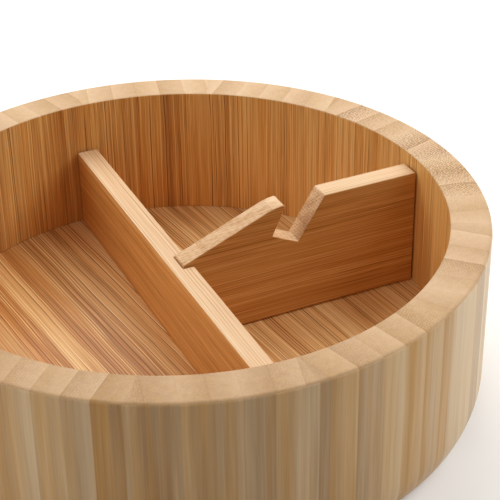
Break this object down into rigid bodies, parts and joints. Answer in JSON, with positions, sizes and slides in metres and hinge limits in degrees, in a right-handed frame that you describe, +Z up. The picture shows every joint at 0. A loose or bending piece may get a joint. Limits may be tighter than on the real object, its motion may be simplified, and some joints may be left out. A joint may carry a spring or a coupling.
{
  "type": "jewelry organizer",
  "caption": "Round, open bamboo box with a loose divider across it and a taller cross divider, whose ramp and leaning notch prop up a small mirror or lid.",
  "frame": {"origin": "on the axis of the round box, in the face that it stands on", "axes": "+Z up along the box's axis, +X along the cross divider from the middle to the wall, +Y along the main divider, away from the viewer"},
  "size_m": [0.16, 0.16, 0.05],
  "materials": {
    "bamboo_wall": "sanded and clear oiled",
    "bamboo_floor": "sanded and clear oiled",
    "bamboo_divider": "sanded and clear oiled"
  },
  "bodies": {
    "box": {"stave_01": "bamboo_wall", "stave_02": "bamboo_wall", "stave_03": "bamboo_wall", "stave_04": "bamboo_wall", "stave_05": "bamboo_wall", "stave_06": "bamboo_wall", "stave_07": "bamboo_wall", "stave_08": "bamboo_wall", "stave_09": "bamboo_wall", "stave_10": "bamboo_wall", "stave_11": "bamboo_wall", "stave_12": "bamboo_wall", "floor_board": "bamboo_floor"},
    "main_divider": {"main_divider": "bamboo_divider"},
    "cross_divider": {"cross_divider": "bamboo_divider"}
  },
  "joints": [
    {"name": "main_divider_lift", "type": "slide", "parent": "box", "child": "main_divider", "axis": [0, 0, 1], "range_m": [0, 0.045]},
    {"name": "cross_divider_lift", "type": "slide", "parent": "box", "child": "cross_divider", "axis": [0, 0, 1], "range_m": [0, 0.045]}
  ]
}
